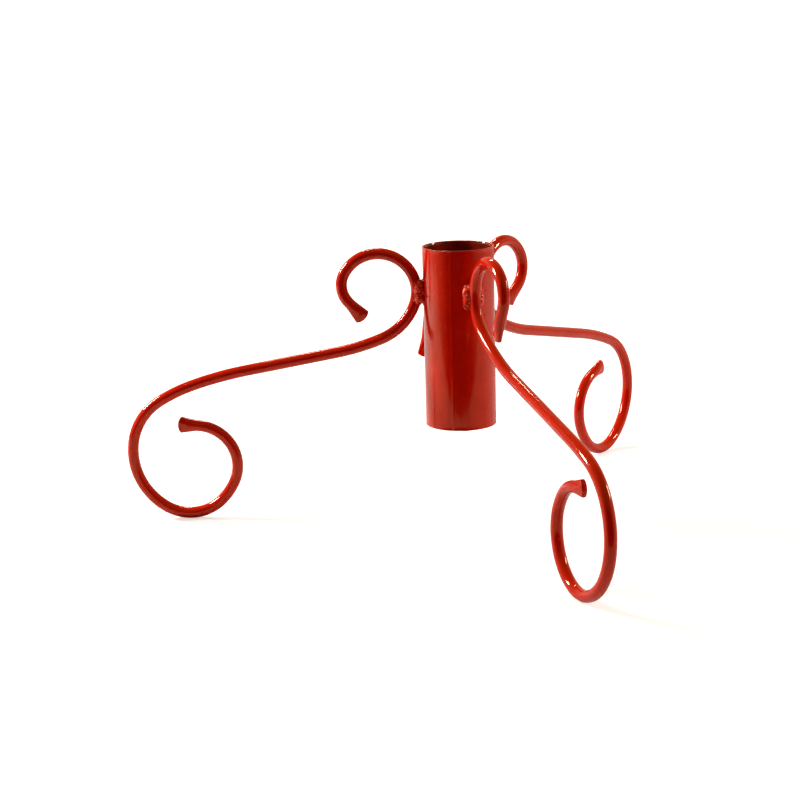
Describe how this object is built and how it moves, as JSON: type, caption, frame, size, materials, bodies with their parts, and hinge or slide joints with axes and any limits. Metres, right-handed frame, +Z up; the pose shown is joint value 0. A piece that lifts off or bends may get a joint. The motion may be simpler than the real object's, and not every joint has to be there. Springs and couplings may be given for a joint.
{
  "type": "tree stand",
  "caption": "Low stand of scroll-bent round rods welded round an upright tube socket that is open at both ends, with an L-shaped clamp screw at its back.",
  "frame": {"origin": "on the floor, on the socket tube's axis", "axes": "+Z up along the socket tube; one leg runs along -X, one forward to the right (-Y), one back to the right (+Y)"},
  "size_m": [0.4763, 0.5366, 0.2465],
  "materials": {
    "red_enamel": "gloss",
    "weld_enamel": "gloss over rippled weld bead",
    "screw_steel": "worn thread with traces of red enamel"
  },
  "bodies": {
    "stand": {"socket_tube": "red_enamel", "leg_left": "red_enamel", "leg_front": "red_enamel", "leg_rear": "red_enamel", "weld_left_a": "weld_enamel", "weld_left_b": "weld_enamel", "weld_front_a": "weld_enamel", "weld_front_b": "weld_enamel", "weld_rear_a": "weld_enamel", "weld_rear_b": "weld_enamel", "clamp_nut": "red_enamel", "weld_nut_a": "weld_enamel", "weld_nut_b": "weld_enamel"},
    "screw": {"clamp_screw": "screw_steel"},
    "handle": {"clamp_handle": "red_enamel"}
  },
  "joints": [
    {"name": "screw_travel", "type": "slide", "parent": "stand", "child": "screw", "axis": [0.342, -0.9397, 0], "range_m": [0, 0.015]},
    {"name": "screw_turn", "type": "hinge", "parent": "screw", "child": "handle", "pos_m": [-0.02223, 0.06108, 0.2], "axis": [0.342, -0.9397, 0], "range_deg": [0, 3600]}
  ],
  "couplings": [
    {"joint": "screw_travel", "follows": "screw_turn", "m_per_rad": 0.00023873}
  ]
}
